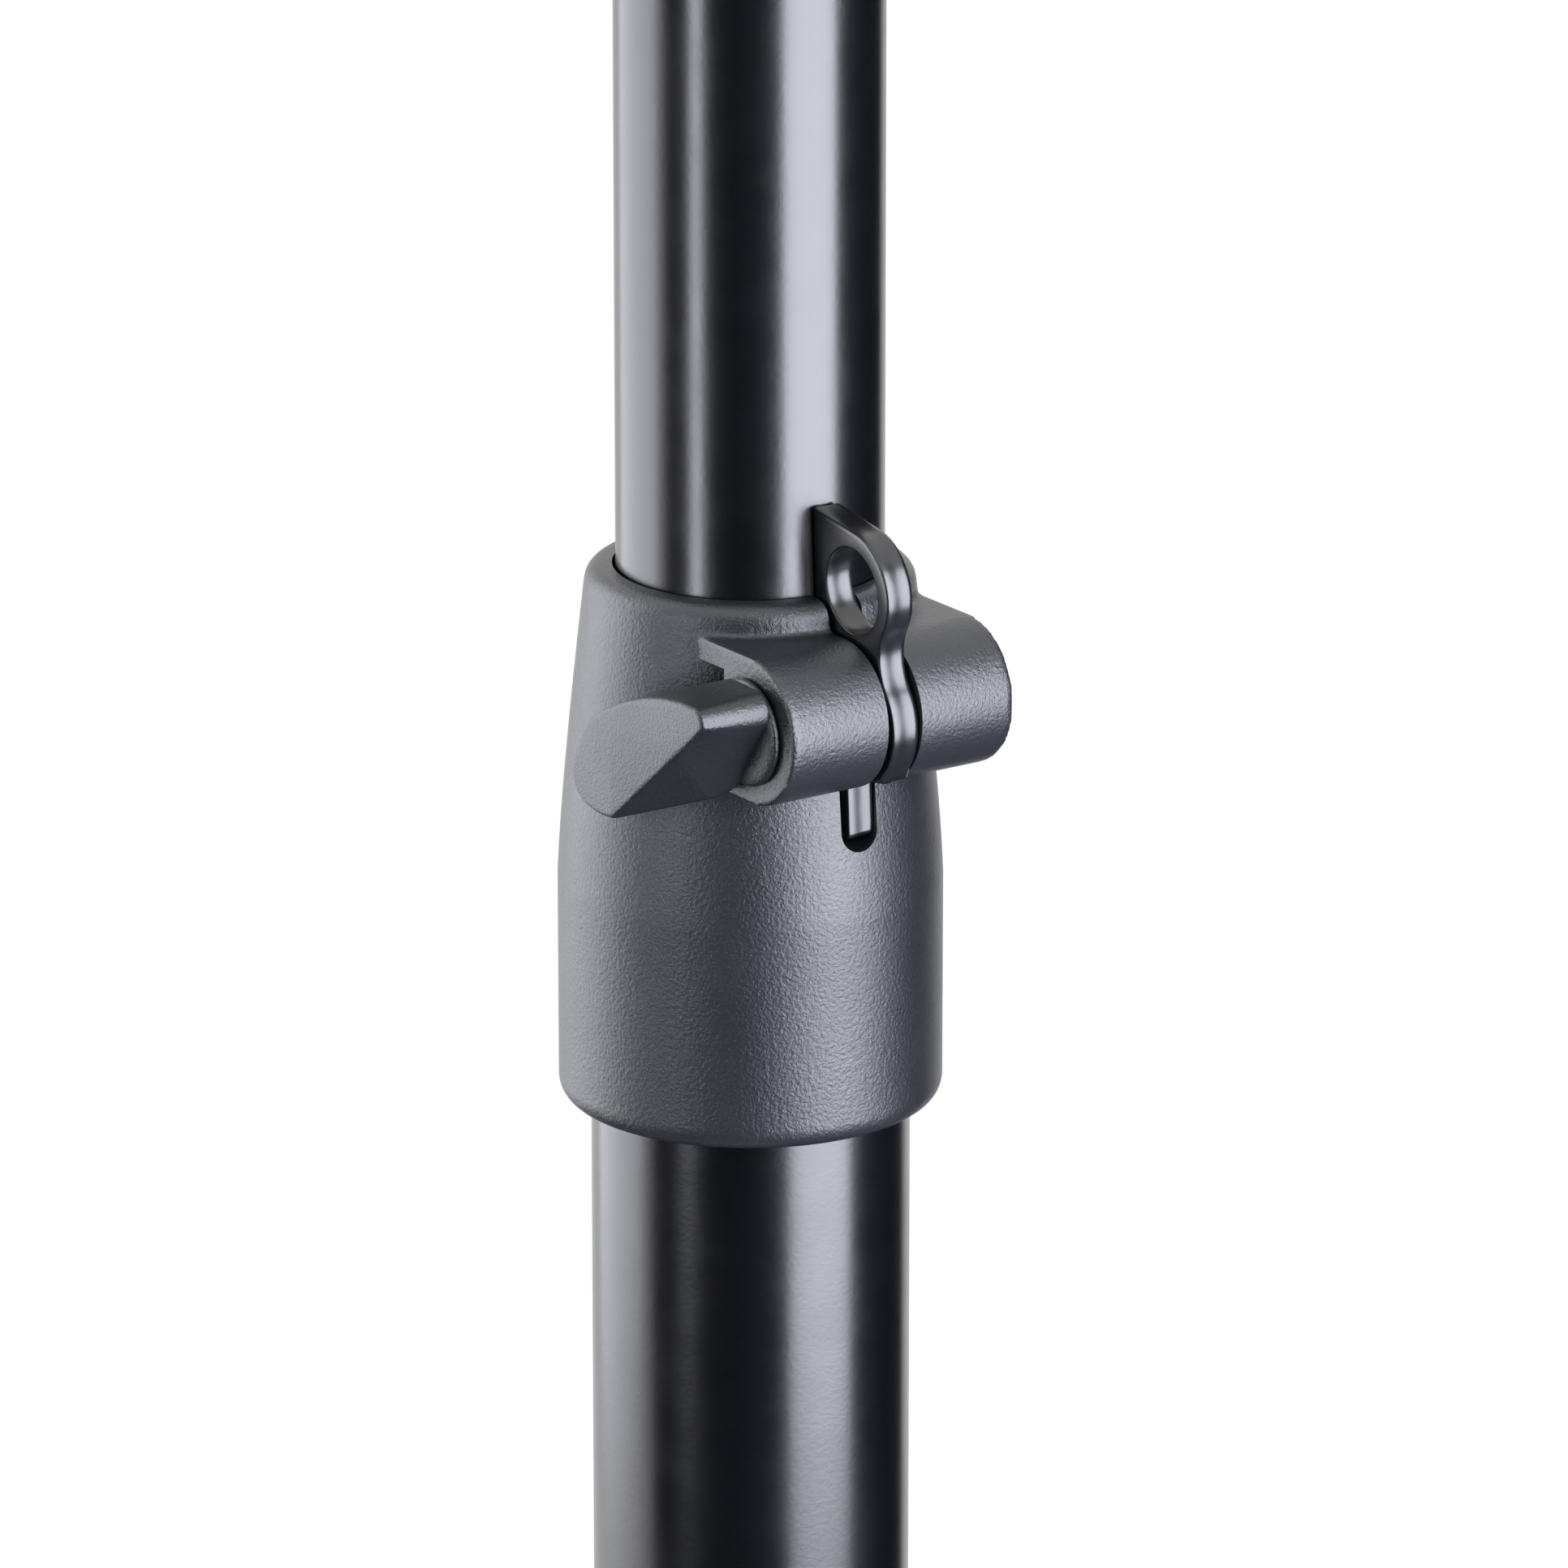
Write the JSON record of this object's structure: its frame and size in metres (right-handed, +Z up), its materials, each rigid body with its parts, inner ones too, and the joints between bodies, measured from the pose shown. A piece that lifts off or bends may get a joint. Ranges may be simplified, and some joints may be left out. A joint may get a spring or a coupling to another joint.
{
  "type": "speaker pole",
  "caption": "Telescopic black steel speaker pole with a moulded clamp collar, wing knob, retaining eyelet and a threaded stud at its foot.",
  "frame": {"origin": "middle of the seat washer's underside, on the pole axis, where the foot of the pole seats", "axes": "+Z up along the pole, -Y towards the slit and the eyelet, -X towards the clamp knob"},
  "size_m": [0.0543, 0.0609, 0.788],
  "materials": {
    "tube_black": "satin black powder coat",
    "collar_nylon": "fine-textured charcoal glass-filled nylon",
    "knob_nylon": "fine-textured charcoal glass-filled nylon",
    "eyelet_black": "glossy black moulding",
    "cap_black": "satin black moulding",
    "liner_plastic": "natural acetal",
    "zinc_steel": "bright zinc plate",
    "plug_aluminium": "turned",
    "washer_rubber": "matt"
  },
  "bodies": {
    "lower_pole": {"lower_tube": "tube_black", "clamp_collar": "collar_nylon", "clamp_liner": "liner_plastic", "collar_screw_left": "zinc_steel", "collar_screw_right": "zinc_steel", "clamp_nut": "zinc_steel", "safety_eyelet": "eyelet_black", "base_plug": "plug_aluminium", "base_rivet_left": "zinc_steel", "base_rivet_right": "zinc_steel", "base_stud": "zinc_steel", "stud_lock_nut": "zinc_steel", "seat_washer": "washer_rubber"},
    "guide": {"guide_bush": "liner_plastic"},
    "upper_pole": {"upper_tube": "tube_black", "top_cap": "cap_black", "end_plug": "cap_black", "end_plug_pin_left": "zinc_steel", "end_plug_pin_right": "zinc_steel", "stop_ring": "zinc_steel", "stop_pin_left": "zinc_steel", "stop_pin_right": "zinc_steel"},
    "screw_washer": {"clamp_washer": "zinc_steel"},
    "knob": {"clamp_knob": "knob_nylon", "clamp_screw": "zinc_steel"}
  },
  "joints": [
    {"name": "extension", "type": "slide", "parent": "lower_pole", "child": "guide", "axis": [0, 0, 1], "range_m": [0, 0.47]},
    {"name": "swivel", "type": "hinge", "parent": "guide", "child": "upper_pole", "pos_m": [0, 0, 0.6], "axis": [0, 0, 1], "continuous": true},
    {"name": "screw_travel", "type": "slide", "parent": "lower_pole", "child": "screw_washer", "axis": [-1, 0, 0], "range_m": [0, 0.0015]},
    {"name": "knob_turn", "type": "hinge", "parent": "screw_washer", "child": "knob", "pos_m": [0, -0.025, 0.619], "axis": [-1, 0, 0], "range_deg": [0, 450]}
  ],
  "couplings": [
    {"joint": "screw_travel", "follows": "knob_turn", "m_per_rad": 0.00015915}
  ]
}
